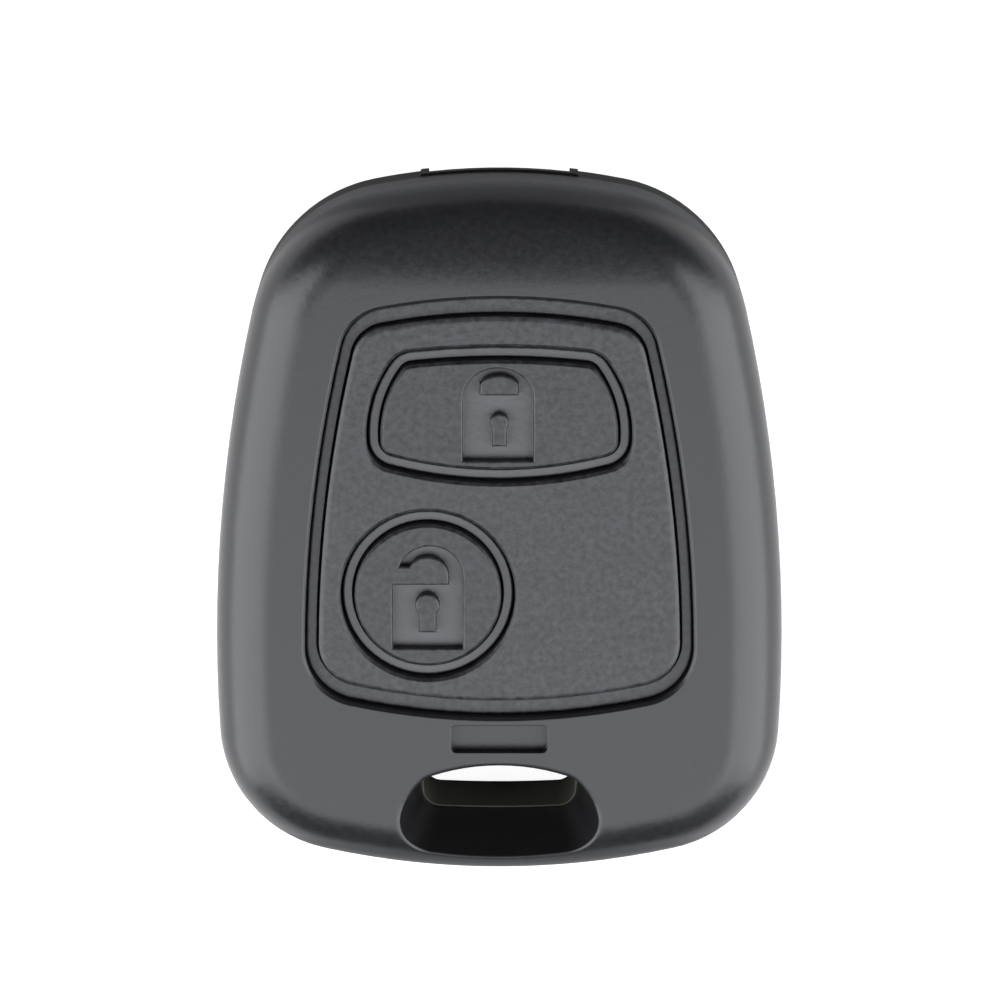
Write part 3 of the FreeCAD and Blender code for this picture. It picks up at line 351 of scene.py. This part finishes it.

# %% [markdown]
# Seen through the keyring slot, the wall of the lower shell is given a browner and lighter grey. This is
# painted light, standing in for the light that reaches this wall in the slot. It is told by its distance
# from the middle of the slot, and only above the underside, so that no patch shows there.

# %% Painted light on the ledge in the slot
SLOT_MIDDLE = (0, -20.3, 3)
LEDGE_FROM, LEDGE_FULL = 9.0, 8.0        # distances from that place, in mm
RAISED_FROM, RAISED_FULL = 0.2, 0.5      # heights, in mm
LEDGE_PAINTED_LIGHT = (0.085, 0.085, 0.065, 1)
near = tree.nodes.new("ShaderNodeVectorMath")
near.operation = "DISTANCE"
near.inputs[1].default_value = [part * MM for part in SLOT_MIDDLE]
feed(tree, near.inputs[0], place)
inside = ramp(tree, near.outputs["Value"], LEDGE_FROM * MM, LEDGE_FULL * MM)
# Painted light: a lighter, browner grey on the wall seen through the slot.
ledge_light_share = ramp(tree, axes["Z"], RAISED_FROM * MM, RAISED_FULL * MM, 0.0, inside)
feed(tree, shader.inputs["Base Color"], blend(tree, ledge_light_share, with_painted_shade, LEDGE_PAINTED_LIGHT))
print("ledge lightened")

# %% [markdown]
# The inner pieces are hidden while the fob is shut, but each has its own finish. Metal parts are nearly
# bare metal with a faint brushed grain.

# %% Plain finishes for the inner pieces
WEAR = 0.06              # how far the roughness goes up and down


def finish_material(name, colour, roughness, metallic=0.0, streak=(1.0, 1.0, 1.0)):
    """A colour with a fine streaky change of gloss, for metal, laminate and ceramic."""
    material, tree, shader = new_material(name)
    shader.inputs["Metallic"].default_value = metallic
    stretch = tree.nodes.new("ShaderNodeMapping")
    stretch.inputs["Scale"].default_value = tuple(part / MM for part in streak)
    feed(tree, stretch.inputs["Vector"], own_place(tree)[0])
    noise = tree.nodes.new("ShaderNodeTexNoise")
    noise.inputs["Scale"].default_value = 4.0
    noise.inputs["Detail"].default_value = 3.0
    feed(tree, noise.inputs["Vector"], stretch.outputs[0])
    streaks = noise.outputs["Fac"]
    darker = tuple(0.9 * part for part in colour)
    feed(tree, shader.inputs["Roughness"], ramp(tree, streaks, 0.0, 1.0, roughness - WEAR, roughness + WEAR))
    feed(tree, shader.inputs["Base Color"], blend(tree, streaks, (*darker, 1), (*colour, 1)))
    return material


FINISHES = {
    "circuit_board": finish_material("solder_mask", (0.02, 0.13, 0.06), 0.3),
    "switch_base": finish_material("switch_plastic", (0.025, 0.025, 0.027), 0.5),
    "switch_plunger": finish_material("plunger_plastic", (0.42, 0.33, 0.2), 0.45),
    "switch_cover": finish_material("tinned_steel", (0.66, 0.66, 0.64), 0.28, 1.0, (0.3, 3, 1)),
    "switch_dome": finish_material("spring_steel", (0.6, 0.6, 0.58), 0.2, 1.0),
    "coin_cell": finish_material("cell_steel", (0.7, 0.7, 0.69), 0.25, 1.0, (3, 0.2, 1)),
    "battery": finish_material("contact_steel", (0.68, 0.66, 0.6), 0.28, 1.0, (0.2, 3, 1)),
    "microcontroller": finish_material("package_plastic", (0.02, 0.02, 0.022), 0.55),
    "resonator": finish_material("can_steel", (0.72, 0.7, 0.62), 0.25, 1.0),
    "transponder_coil": finish_material("coil_winding", (0.42, 0.17, 0.08), 0.35, 0.6, (0.3, 6, 6)),
    "antenna_loop": finish_material("enamelled_wire", (0.5, 0.22, 0.1), 0.3, 0.8),
    "capacitors": finish_material("capacitor_ceramic", (0.34, 0.22, 0.12), 0.4),
    "resistors": finish_material("resistor_ceramic", (0.03, 0.03, 0.032), 0.35),
}


def coat(thing, material):
    """Gives a piece one material in place of what it came with."""
    thing.data.materials.clear()
    thing.data.materials.append(material)


for name, thing in nodes.items():
    for part, material in FINISHES.items():
        if part in name:
            coat(thing, material)
coat(nodes["lower_shell"], back_plastic)
print("inner finishes:", len(FINISHES))

# %% [markdown]
# The padlocks are sunk into the button faces, with the keyhole left standing. Each is cut with a plain
# solid cutter: blocks and drums are joined into the outline of the symbol, and the keyhole is taken away
# again. What is taken from a cutter reaches a little below it, so that no two faces lie in one plane.

# %% Helpers for cutting
FOOT = FACE - SUNK       # lower end of the cutters
BELOW = FACE - 1.0       # lower end of what is taken from them
FURTHER = FACE - 1.2     # lower end of what is taken from that again
KEYHOLE_FOOT = FOOT - 0.2
KEYHOLE_TALLER = 1.3     # how many times as tall a keyhole is made in the end


def picked(thing):
    """Leaves one object selected and active."""
    bpy.ops.object.select_all(action="DESELECT")
    thing.select_set(True)
    bpy.context.view_layer.objects.active = thing


def combine(thing, other, operation):
    """Joins another solid to this one or cuts it away, and removes the other."""
    picked(thing)
    modifier = thing.modifiers.new("combine", "BOOLEAN")
    modifier.operation = operation
    modifier.solver = "EXACT"
    modifier.object = other
    bpy.ops.object.modifier_apply(modifier=modifier.name)
    bpy.data.objects.remove(other)
    return thing


def block(low_x, high_x, low_y, high_y, foot=FOOT):
    """A box between two corners in mm, from its foot to above the face."""
    bpy.ops.object.select_all(action="DESELECT")
    middle = ((low_x + high_x) / 2, (low_y + high_y) / 2, (foot + FACE + OVER) / 2)
    size = (high_x - low_x, high_y - low_y, FACE + OVER - foot)
    bpy.ops.mesh.primitive_cube_add(
        size=1, location=[MM * part for part in middle], scale=[MM * part for part in size]
    )
    bpy.ops.object.transform_apply(location=True, rotation=True, scale=True)
    return bpy.context.object


def drum(x, y, across, along, foot=FOOT):
    """An upright elliptic cylinder round a place in mm, with these half-widths."""
    bpy.ops.object.select_all(action="DESELECT")
    height = FACE + OVER - foot
    bpy.ops.mesh.primitive_cylinder_add(
        vertices=72, radius=1, depth=1,
        location=(MM * x, MM * y, MM * (foot + height / 2)), scale=(MM * across, MM * along, MM * height),
    )
    bpy.ops.object.transform_apply(location=True, rotation=True, scale=True)
    return bpy.context.object


def keyhole(x, top, foot, radius, neck, flare):
    """A round head over a stem that widens to its foot, taller than the cutter that it is taken from."""
    head = drum(x, top - radius, radius, radius, KEYHOLE_FOOT)
    stem = block(x - neck, x + neck, foot, top - radius, KEYHOLE_FOOT)
    picked(stem)
    for vertex in stem.data.vertices:
        vertex.select = vertex.co.y < MM * (foot + NEAR)
    bpy.ops.object.mode_set(mode="EDIT")
    bpy.ops.mesh.select_mode(type="VERT")
    bpy.ops.transform.resize(value=(flare / neck, 1, 1), center_override=(MM * x, 0, 0))
    bpy.ops.object.mode_set(mode="OBJECT")
    for thing in (head, stem):
        picked(thing)
        bpy.ops.transform.resize(value=(1, 1, KEYHOLE_TALLER), center_override=(0, 0, MM * KEYHOLE_FOOT))
        bpy.ops.object.transform_apply(location=True, rotation=True, scale=True)
    return combine(head, stem, "UNION")


print("cutting helpers ready")

# %% [markdown]
# The closed padlock fills the lock button: a square body under an arch, with the window inside the arch
# left at the height of the face. A block is given by its left, right, lower and upper side, and a drum by
# its middle and its half-widths.

# %% Closed padlock cutter
CLOSED_BODY = (-2.69, 2.5, 6.34, 11.0)
CLOSED_ARCH = (-0.095, 11.0, 2.595, 2.32)
WINDOW_STRAIGHT = (-1.46, 1.43, 11.28, 12.2)
WINDOW_ROUND = (-0.015, 11.9, 1.445, 0.97)
UNDER_WINDOW = (-1.7, 1.7, 10.6, 11.28)
window = combine(block(*WINDOW_STRAIGHT, BELOW), drum(*WINDOW_ROUND, BELOW), "UNION")
window = combine(window, block(*UNDER_WINDOW, FURTHER), "DIFFERENCE")
closed = combine(block(*CLOSED_BODY), drum(*CLOSED_ARCH), "UNION")
closed = combine(closed, window, "DIFFERENCE")
standing = keyhole(0.0, top=9.92, foot=7.41, radius=0.7, neck=0.36, flare=0.56)
closed = combine(closed, standing, "DIFFERENCE")
closed.name = "closed_padlock_cutter"
print("closed padlock:", len(closed.data.vertices), "points")

# %% [markdown]
# On the open padlock the arch is lifted: it keeps its right leg in the body, and its left end hangs free.

# %% Open padlock cutter
OPEN_BODY = (-7.98, -2.75, -8.15, -3.24)
RIGHT_LEG = (-3.76, -2.75, -3.4, -2.5)
ARCH_OUTSIDE = (-5.165, -2.6, 2.425, 2.34)
ARCH_INSIDE = (-5.345, -2.6, 1.585, 1.57)
UNDER_LEFT_END = (-8.4, -5.345, -5.4, -1.81)
UNDER_RIGHT_HALF = (-6.0, -2.0, -5.4, -2.6)
arch = combine(drum(*ARCH_OUTSIDE), drum(*ARCH_INSIDE, BELOW), "DIFFERENCE")
arch = combine(arch, block(*UNDER_LEFT_END, BELOW), "DIFFERENCE")
arch = combine(arch, block(*UNDER_RIGHT_HALF, FURTHER), "DIFFERENCE")
opened = combine(block(*OPEN_BODY), block(*RIGHT_LEG), "UNION")
opened = combine(opened, arch, "UNION")
standing = keyhole(-5.38, top=-3.9, foot=-6.94, radius=0.92, neck=0.5, flare=0.67)
opened = combine(opened, standing, "DIFFERENCE")
opened.name = "open_padlock_cutter"
print("open padlock:", len(opened.data.vertices), "points")

# %% [markdown]
# A CAD mesh is loose triangles, so a copy of it is merged first and its flat facets are joined. The shading
# that came with it is cleared too, because it wouldn't fit the new faces.

# %% Helpers that merge and smooth
APART = 0.0005           # points of a CAD mesh that are closer than this, in mm, become one
SMOOTH_BELOW = 32        # edges that bend less than this, in degrees, are shaded smooth


def tidy_mesh(thing, apart, flat):
    """Merges points closer than a distance in mm and joins facets flatter than an angle in degrees."""
    picked(thing)
    bpy.ops.object.mode_set(mode="EDIT")
    bpy.ops.mesh.select_all(action="SELECT")
    bpy.ops.mesh.remove_doubles(threshold=apart * MM)
    bpy.ops.mesh.dissolve_limited(angle_limit=math.radians(flat))
    bpy.ops.object.mode_set(mode="OBJECT")


def merged_copy(node, name, flat=0.5):
    """A copy of a node's mesh with its points merged and its flat facets joined."""
    copy = bpy.data.objects.new(name, nodes[node].data.copy())
    bpy.context.collection.objects.link(copy)
    picked(copy)
    bpy.ops.mesh.customdata_custom_splitnormals_clear()
    tidy_mesh(copy, APART, flat)
    return copy


def dress(piece, node, material, body):
    """Smooths a finished copy, coats it and puts it in the place of its node."""
    picked(piece)
    bpy.ops.object.shade_smooth_by_angle(angle=math.radians(SMOOTH_BELOW))
    modifier = piece.modifiers.new("flat", "WEIGHTED_NORMAL")
    modifier.keep_sharp = True
    bpy.ops.object.modifier_apply(modifier=modifier.name)
    coat(piece, material)
    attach(piece, body)
    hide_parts(node)
    print(piece.name, len(piece.data.polygons), "faces")


print("merging helpers ready")

# %% [markdown]
# Bevels go only where they belong. The bend of every edge is worked out first, so that ridges and corners
# can be told apart, and a test picks the edges by their height and their bend.

# %% Helpers that bevel and shift


def edge_bends(mesh):
    """How far each edge bends in degrees: more than 0 on a ridge, less than 0 in a corner."""
    sides = {}
    for face in mesh.polygons:
        count = len(face.vertices)
        for number in range(count):
            start, end = face.vertices[number], face.vertices[(number + 1) % count]
            sides.setdefault((min(start, end), max(start, end)), []).append((face, start, end))
    bends = {}
    for key, uses in sides.items():
        if len(uses) == 2 and min(use[0].area for use in uses) > 0:
            (one, start, end), (two, _, _) = uses
            along = mesh.vertices[end].co - mesh.vertices[start].co
            ridge = one.normal.cross(two.normal).dot(along) > 0
            bends[key] = math.degrees(one.normal.angle(two.normal, 0)) * (1 if ridge else -1)
    return bends


def bevel_where(thing, width, segments, test, clamp=True):
    """Bevels the edges that pass a test of their middle in mm and of their bend in degrees."""
    mesh = thing.data
    bends = edge_bends(mesh)
    weight = mesh.attributes.get("bevel_weight_edge")
    if weight is None:
        weight = mesh.attributes.new("bevel_weight_edge", "FLOAT", "EDGE")
    for edge in mesh.edges:
        first, second = (mesh.vertices[number].co for number in edge.vertices)
        bend = bends.get(edge.key, 0.0)
        weight.data[edge.index].value = 1.0 if test((first + second) / (2 * MM), bend) else 0.0
    picked(thing)
    modifier = thing.modifiers.new("round", "BEVEL")
    modifier.limit_method = "WEIGHT"
    modifier.width = width * MM
    modifier.segments = segments
    modifier.use_clamp_overlap = clamp
    bpy.ops.object.modifier_apply(modifier=modifier.name)
    weight = thing.data.attributes.get("bevel_weight_edge")
    if weight:
        thing.data.attributes.remove(weight)


def shift_level(thing, level, rise):
    """Moves the points at a height straight up or down; both are in mm."""
    picked(thing)
    bpy.ops.object.mode_set(mode="EDIT")
    bpy.ops.mesh.select_mode(type="VERT")
    bpy.ops.mesh.select_all(action="DESELECT")
    bpy.ops.object.mode_set(mode="OBJECT")
    for point in thing.data.vertices:
        point.select = abs(point.co.z / MM - level) < NEAR
    bpy.ops.object.mode_set(mode="EDIT")
    bpy.ops.transform.translate(value=(0, 0, rise * MM))
    bpy.ops.object.mode_set(mode="OBJECT")


print("bevel helpers ready")

# %% [markdown]
# The floor of each groove is a rounded bead. It is lifted a little, its outer edge is rounded, and the
# corner at the wall is bevelled and pushed down, which leaves a thin dark channel. A ridge or a corner is
# an edge that bends by more than 60 degrees one way or the other.

# %% Beads and button caps
SHARP = 60               # degrees
BEAD_ROUND = 0.18        # rounding of the bead, in mm
CHANNEL_WIDTH = 0.2
CHANNEL_DEPTH = 0.7
SYMBOL_ROUND = 0.2       # rounding of the padlocks' edges


def bead_ridge(middle, bend):
    return abs(middle.z - BEAD) < NEAR and bend > SHARP


def bead_corner(middle, bend):
    return abs(middle.z - BEAD) < NEAR and bend < -SHARP


def symbol_ridge(middle, bend):
    return middle.z > FACE - 2 * NEAR and bend > SHARP


def make_bead(thing):
    """Turns the floor of a groove into a bead, with a thin channel between it and the wall inside."""
    shift_level(thing, GROOVE, BEAD - GROOVE)
    bevel_where(thing, BEAD_ROUND, 3, bead_ridge)
    bevel_where(thing, CHANNEL_WIDTH, 1, bead_corner)
    shift_level(thing, BEAD + CHANNEL_WIDTH, -CHANNEL_WIDTH - CHANNEL_DEPTH)


def make_button(node, cutter):
    """The cap of a button, with its bead and its padlock; the body has the node's name."""
    button = merged_copy(node, f"{node}_cap")
    make_bead(button)
    combine(button, cutter, "DIFFERENCE")
    tidy_mesh(button, apart=0.002, flat=0.5)
    bevel_where(button, SYMBOL_ROUND, 4, symbol_ridge, clamp=False)
    dress(button, node, button_rubber, node)


make_button("lock_button", closed)
make_button("unlock_button", opened)

# %% [markdown]
# The keypad panel gets the same bead along the floor of its groove. The upper shell keeps the shape of its
# solid, with smooth shading: its edges are rounded by its material alone.

# %% Panel and upper shell
panel = merged_copy("keypad_frame", "keypad_panel")
make_bead(panel)
dress(panel, "keypad_frame", keypad_rubber, "housing")
shell = merged_copy("upper_shell", "face_shell", flat=0.02)
dress(shell, "upper_shell", shell_plastic, "housing")

# %% [markdown]
# The webs of rubber under the buttons buckle when a button goes down, and so do the snap domes in the
# switches. Here each is a smoothed copy with its own mesh, coated and put in the place of its node. The
# table below gives how it would flatten towards its fixed foot as its joint moves, with a dome giving way
# more than its plunger travels, but nothing here moves it.

# %% Webs and domes
SOFT_PARTS = (
    # name, joint that it follows, fixed height in mm, share of the thickness that is left, material, slot
    ("web", "press", 10.6, 0.5, keypad_rubber, "keypad_rubber"),
    ("switch_dome", "plunger_press", 6.4, 0.4, FINISHES["switch_dome"], "sheet_steel"),
)
for part, joint, foot, kept, material, slot_name in SOFT_PARTS:
    for button in ("lock", "unlock"):
        node = f"{button}_{part}"
        piece = merged_copy(node, f"{node}_soft")
        dress(piece, node, material, "housing")
        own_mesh(piece)
print("webs and domes ready")
